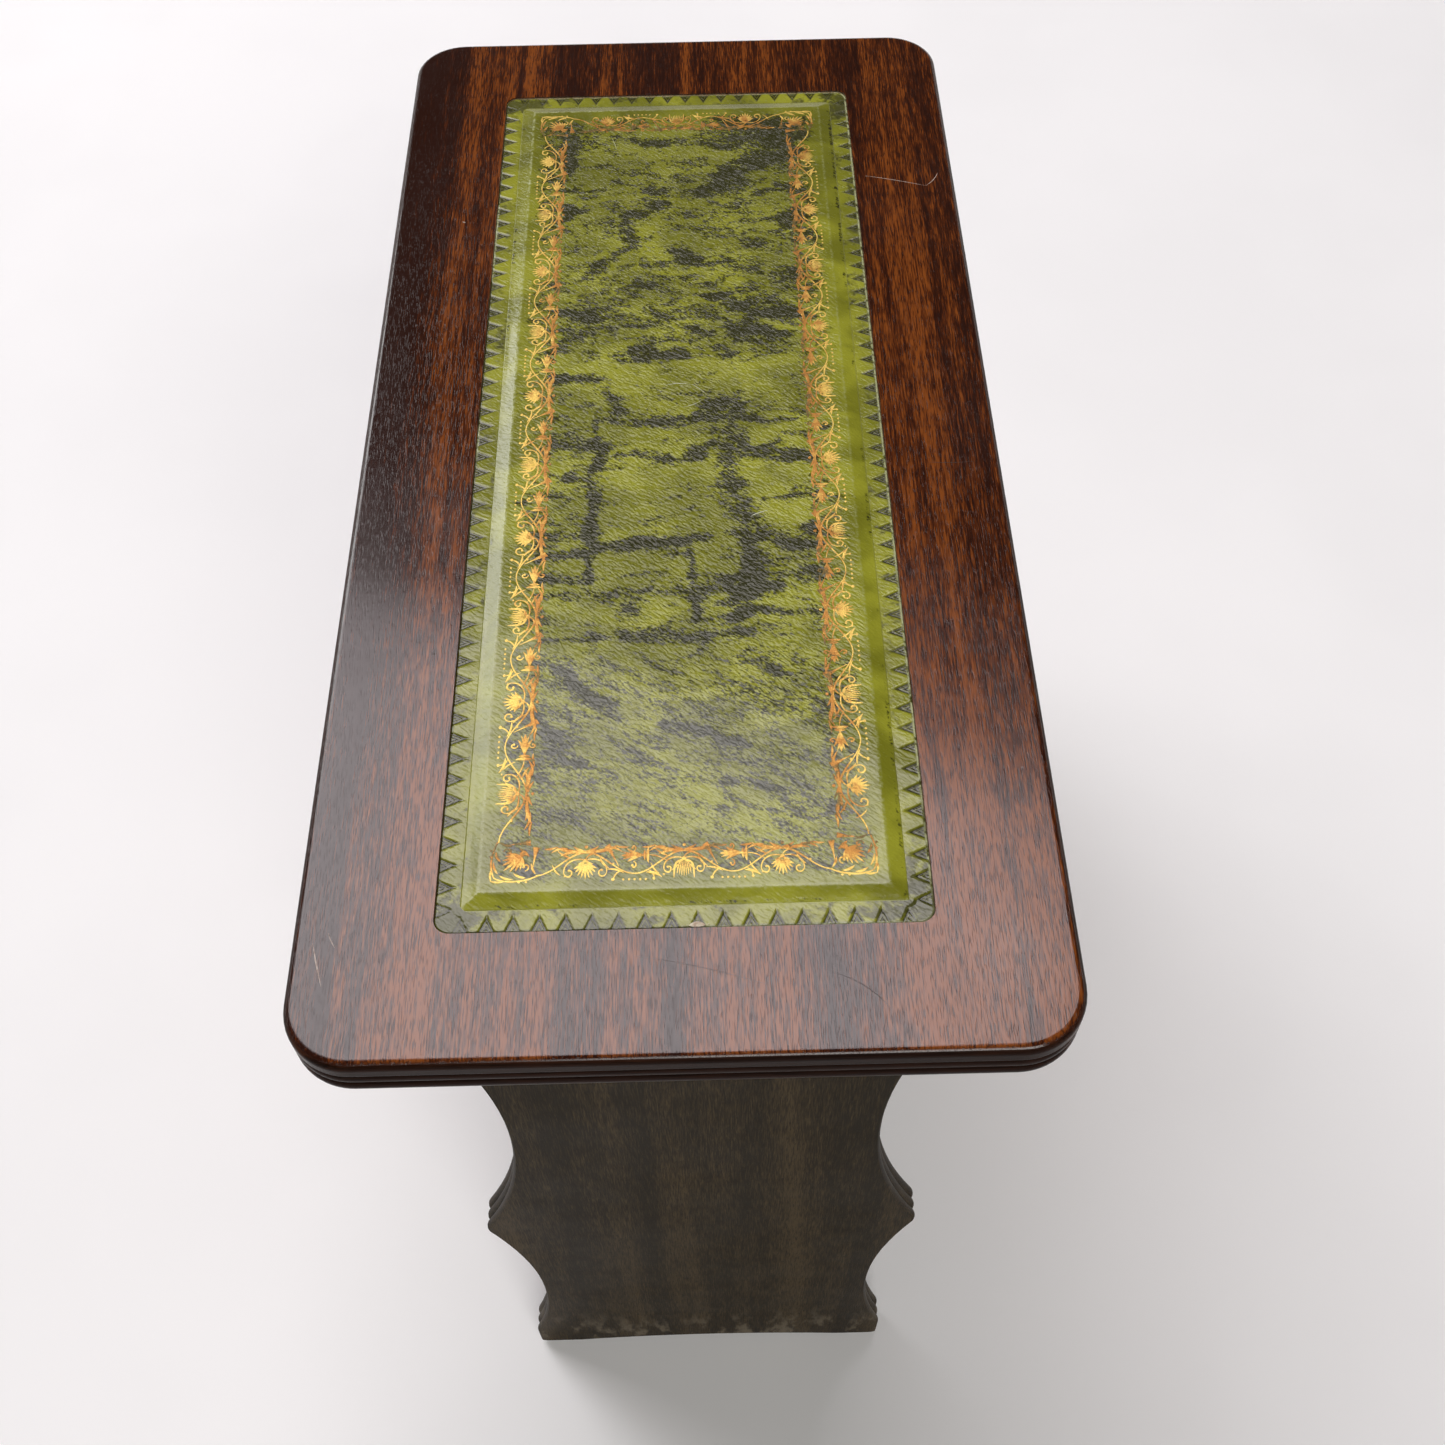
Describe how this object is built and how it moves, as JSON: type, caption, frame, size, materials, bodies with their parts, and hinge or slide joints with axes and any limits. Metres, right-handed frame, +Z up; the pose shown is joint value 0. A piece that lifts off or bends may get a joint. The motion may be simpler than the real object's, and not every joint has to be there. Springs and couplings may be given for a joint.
{
  "type": "side table",
  "caption": "Small oblong side table with a tooled leather panel in a reeded top, on shaped slab ends joined by a V-shaped book trough.",
  "frame": {"origin": "on the floor under the middle of the table", "axes": "+X across the table, +Y along its length, +Z up"},
  "size_m": [0.28, 0.595, 0.4914],
  "materials": {
    "veneered_mahogany": "satin lacquer over dark red-brown mahogany veneer, ribbon grain along the length",
    "edging_mahogany": "semi-gloss lacquer over solid mahogany, rubbed lighter on the crowns",
    "panel_mahogany": "satin lacquer over dark brown mahogany, grain upright",
    "trough_mahogany": "satin lacquer over dark mahogany, grain along the length",
    "backing_veneer": "dull, sealed only",
    "core_board": "raw board",
    "pale_hardwood": "planed, unfinished",
    "green_leather": "antiqued olive green hide with gold tooling, semi-gloss",
    "screw_steel": "dulled zinc plate",
    "glide_steel": "nickel plate, scuffed"
  },
  "bodies": {
    "root": {"top_veneer": "veneered_mahogany", "underside_veneer": "backing_veneer", "top_core": "core_board", "lipping_near": "edging_mahogany", "lipping_far": "edging_mahogany", "lipping_left": "edging_mahogany", "lipping_right": "edging_mahogany", "insert_board": "core_board", "field_board": "core_board", "leather_skin": "green_leather", "end_panel_near": "panel_mahogany", "end_panel_far": "panel_mahogany", "trough_board_left": "trough_mahogany", "trough_board_right": "trough_mahogany", "trough_keel": "trough_mahogany", "cleat_near": "pale_hardwood", "cleat_far": "pale_hardwood", "top_dowels": "pale_hardwood", "trough_dowels": "pale_hardwood", "top_screws": "screw_steel", "panel_screws": "screw_steel", "foot_glides": "glide_steel"}
  },
  "joints": []
}
